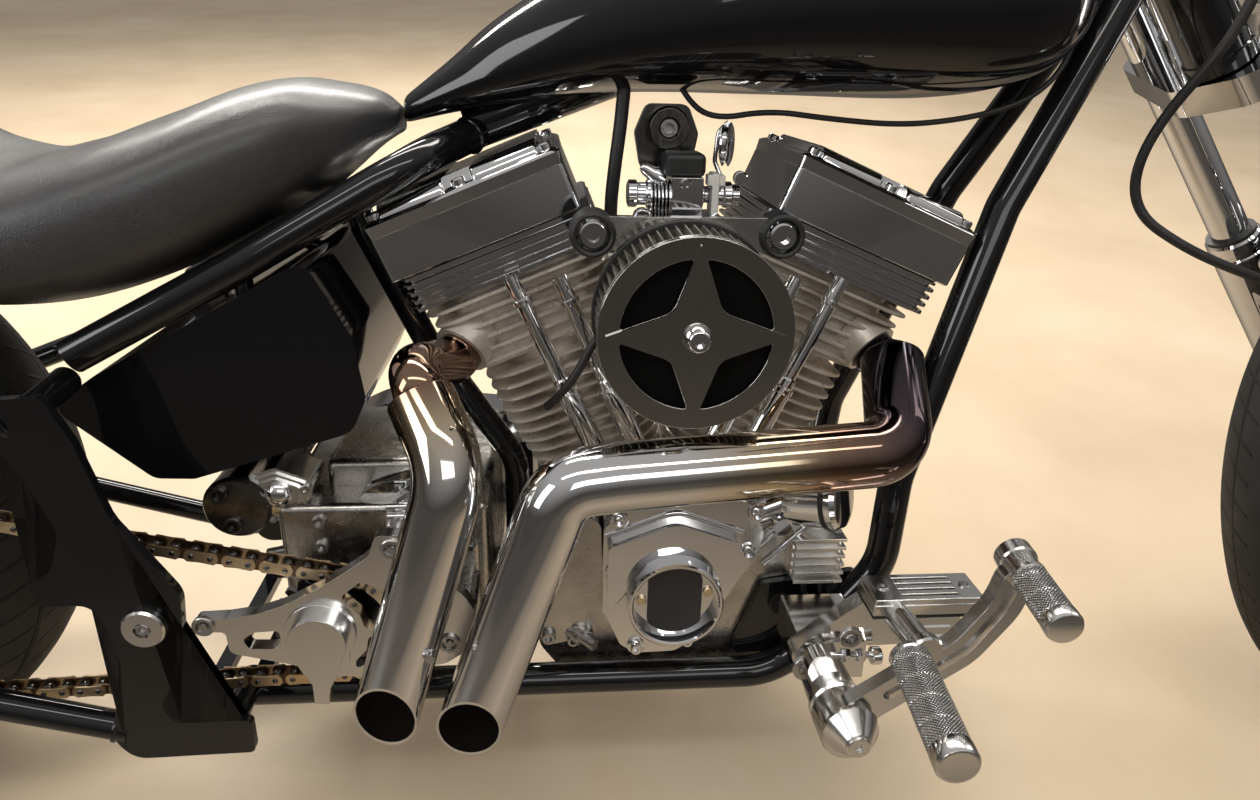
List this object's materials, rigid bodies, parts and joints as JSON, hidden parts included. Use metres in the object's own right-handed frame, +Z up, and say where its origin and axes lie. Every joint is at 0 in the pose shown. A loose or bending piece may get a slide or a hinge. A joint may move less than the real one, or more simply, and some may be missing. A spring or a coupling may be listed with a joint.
{
  "type": "chopper motorcycle",
  "caption": "Chopper motorcycle: hardtail frame, V-twin engine, long raked fork and chain drive, leaning on its side stand.",
  "frame": {"origin": "bottom centre of the bounding box, on the floor, parked on the side stand", "axes": "+X to the front of the motorcycle, +Y to the rider's left, +Z up; the motorcycle leans to its left"},
  "size_m": [2.5778, 0.882, 1.2756],
  "materials": {
    "frame_black": "gloss black paint",
    "tank_black": "deep gloss black paint",
    "chrome": "polished chrome plate",
    "polished_aluminium": "polished aluminium",
    "raw_aluminium": "raw cast aluminium fins",
    "dark_metal": "dark polished metal",
    "steel": "bare steel",
    "seat_leather": "black leather, soft sheen",
    "tyre_black": "black rubber",
    "rubber_black": "black rubber",
    "chain_gold": "gold-coloured plated steel",
    "lamp_red": "red lens",
    "matte_black": "matte black"
  },
  "bodies": {
    "rear_wheel": {"rear_tyre": "tyre_black", "rear_sprocket": "steel", "rear_rim": "polished_aluminium"},
    "front_wheel": {"front_tyre": "tyre_black", "front_rim": "polished_aluminium"},
    "frame": {"drive_chain": "chain_gold", "rear_axle": "chrome", "crankcase": "polished_aluminium", "cam_cover": "polished_aluminium", "front_rocker_box": "chrome", "rear_rocker_box": "chrome", "pushrod_tubes": "chrome", "air_cleaner": "matte_black", "air_cleaner_cover": "dark_metal", "carburettor": "chrome", "front_exhaust": "chrome", "rear_exhaust": "chrome", "primary_cover": "polished_aluminium", "sprocket_cover": "polished_aluminium", "oil_tank": "tank_black", "oil_filter": "chrome", "regulator": "polished_aluminium", "fuel_tank": "tank_black", "filler_cap": "chrome", "seat": "seat_leather", "rear_fender": "tank_black", "rear_caliper": "polished_aluminium", "forward_control_right": "polished_aluminium", "forward_control_left": "polished_aluminium", "frame_upper": "frame_black", "frame_cradle": "frame_black", "rear_frame_right": "frame_black", "rear_frame_left": "frame_black", "front_cylinder": "raw_aluminium", "rear_cylinder": "raw_aluminium", "gearbox": "polished_aluminium", "tail_lamp": "lamp_red"},
    "fork": {"front_fender": "tank_black", "fork_yokes": "chrome", "fork_leg_right": "chrome", "fork_leg_left": "chrome", "front_axle": "chrome", "grip_right": "rubber_black", "grip_left": "rubber_black", "headlamp": "chrome", "front_caliper": "polished_aluminium", "brake_hose": "rubber_black", "handlebar": "chrome"},
    "side_stand": {"side_stand": "chrome"}
  },
  "joints": [
    {"name": "steering", "type": "hinge", "parent": "frame", "child": "fork", "pos_m": [0.5507, 0.03541, 0.75265], "axis": [-0.6112, 0.1374, 0.7795], "range_deg": [-44, 0]},
    {"name": "front_wheel_spin", "type": "hinge", "parent": "fork", "child": "front_wheel", "pos_m": [0.97069, -0.01794, 0.30988], "axis": [-0.2965, 0.8733, -0.3865], "continuous": true},
    {"name": "rear_wheel_spin", "type": "hinge", "parent": "frame", "child": "rear_wheel", "pos_m": [-0.91681, -0.04042, 0.32264], "axis": [0, 0.9848, -0.1736], "continuous": true},
    {"name": "side_stand_fold", "type": "hinge", "parent": "frame", "child": "side_stand", "pos_m": [0.11415, 0.0752, 0.11453], "axis": [-0.0007, 0.5601, 0.8284], "range_deg": [0, 108.26]}
  ]
}
